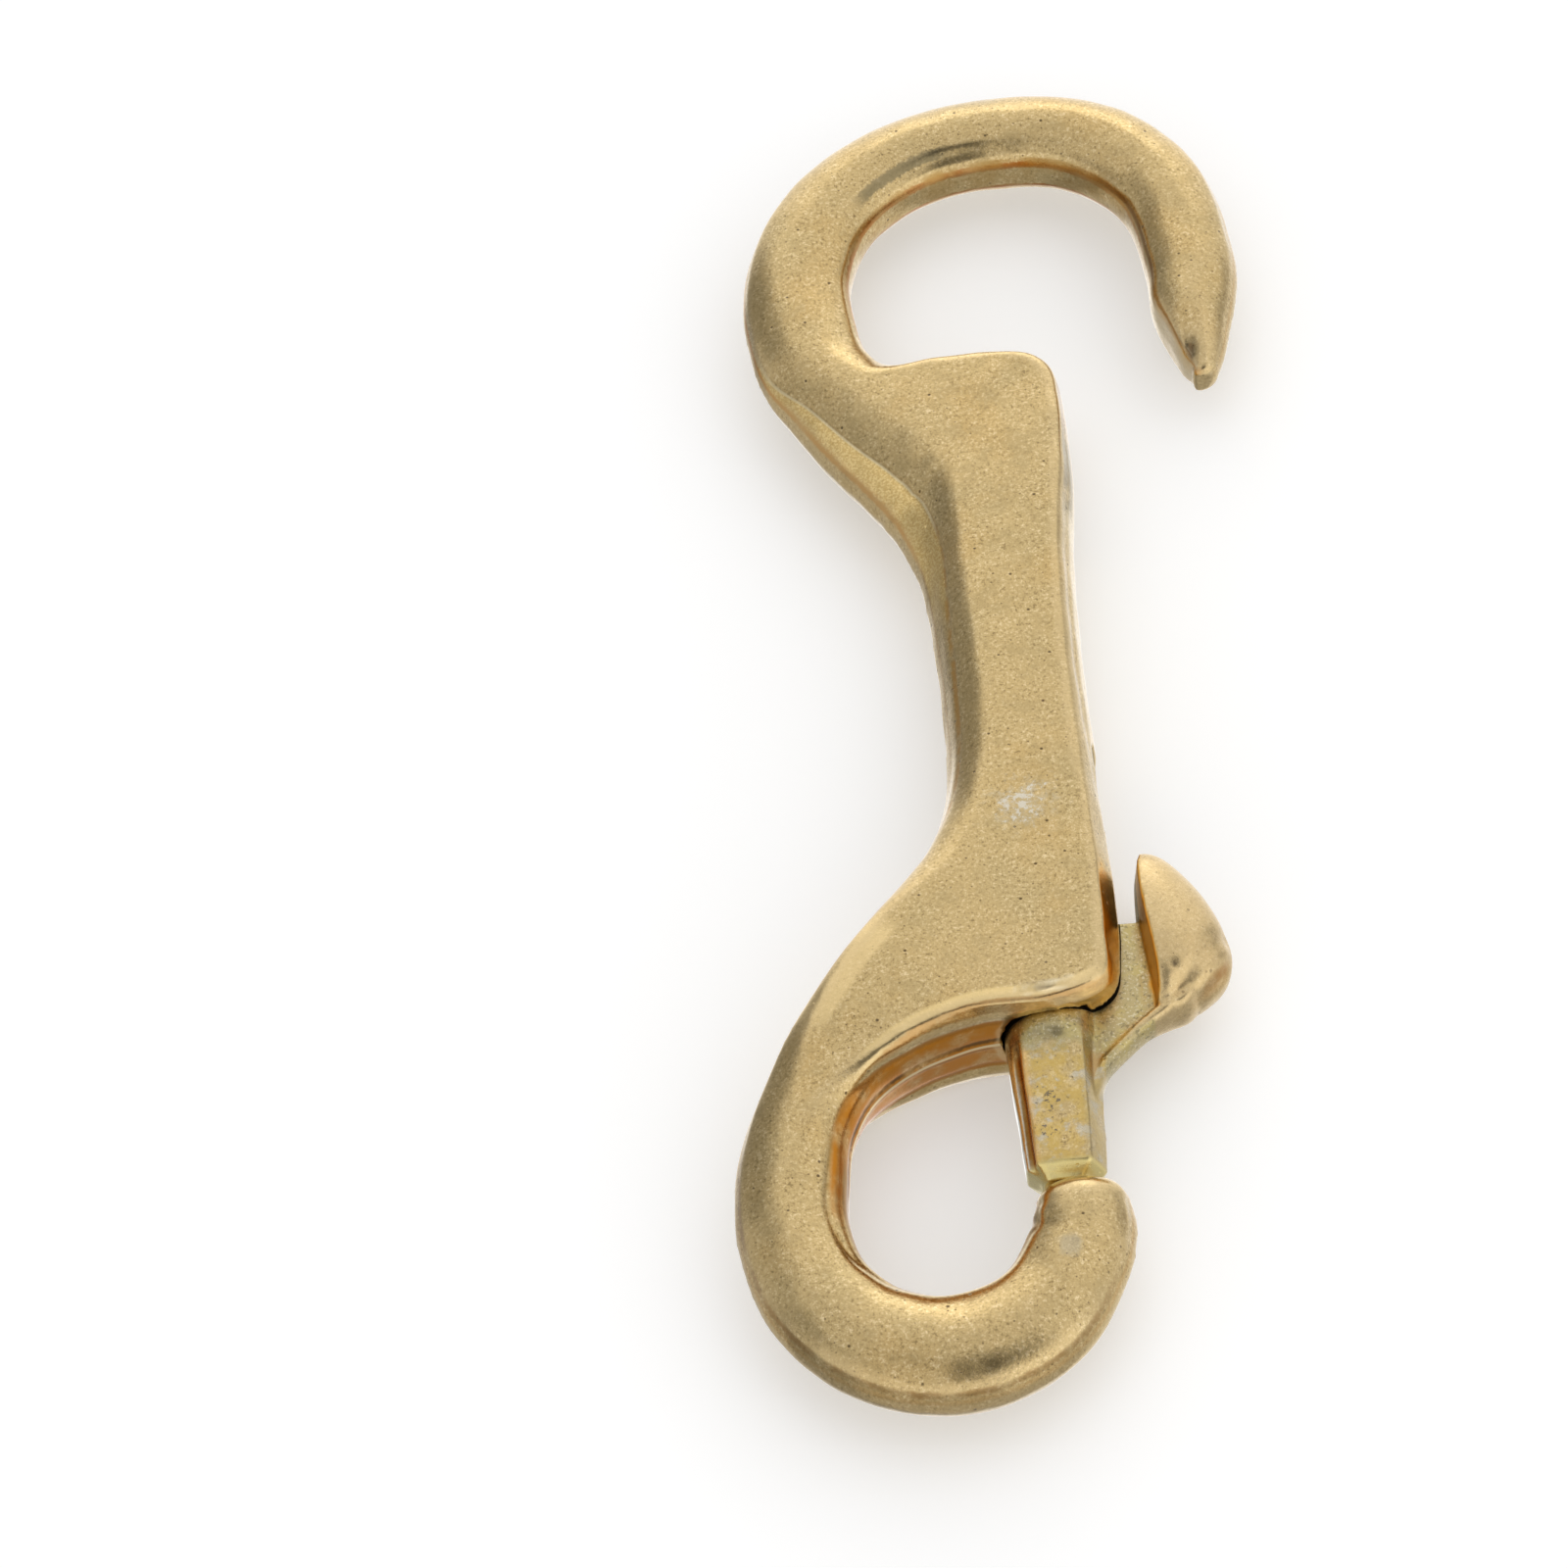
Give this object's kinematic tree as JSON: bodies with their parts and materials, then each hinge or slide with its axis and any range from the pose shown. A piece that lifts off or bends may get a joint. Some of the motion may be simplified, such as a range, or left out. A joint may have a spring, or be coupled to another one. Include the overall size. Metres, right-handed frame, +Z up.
{
  "type": "double ended hook clasp",
  "caption": "Cast brass clasp with an open hook at one end and a snap hook with a sprung sliding bolt and thumb piece at the other.",
  "frame": {"origin": "middle of the clasp's box on the surface that it lies on", "axes": "+Y along the barrel's axis towards the open hook, +X towards the thumb piece and the open hook's beak, +Z up through the clasp's thickness"},
  "size_m": [0.0326, 0.0906, 0.0075],
  "materials": {
    "cast_brass": "tumbled satin, lightly tarnished",
    "bolt_brass": "as cast and tumbled, darker in the hollows",
    "spring_wire": "drawn wire"
  },
  "bodies": {
    "clasp": {"clasp_body": "cast_brass", "spring": "spring_wire"},
    "bolt": {"bolt": "bolt_brass"}
  },
  "joints": [
    {"name": "bolt_slide", "type": "slide", "parent": "clasp", "child": "bolt", "axis": [0, 1, 0], "range_m": [0, 0.0105], "stiffness_N_per_m": 400, "springref_m": -0.002, "deforming": ["spring"]}
  ]
}
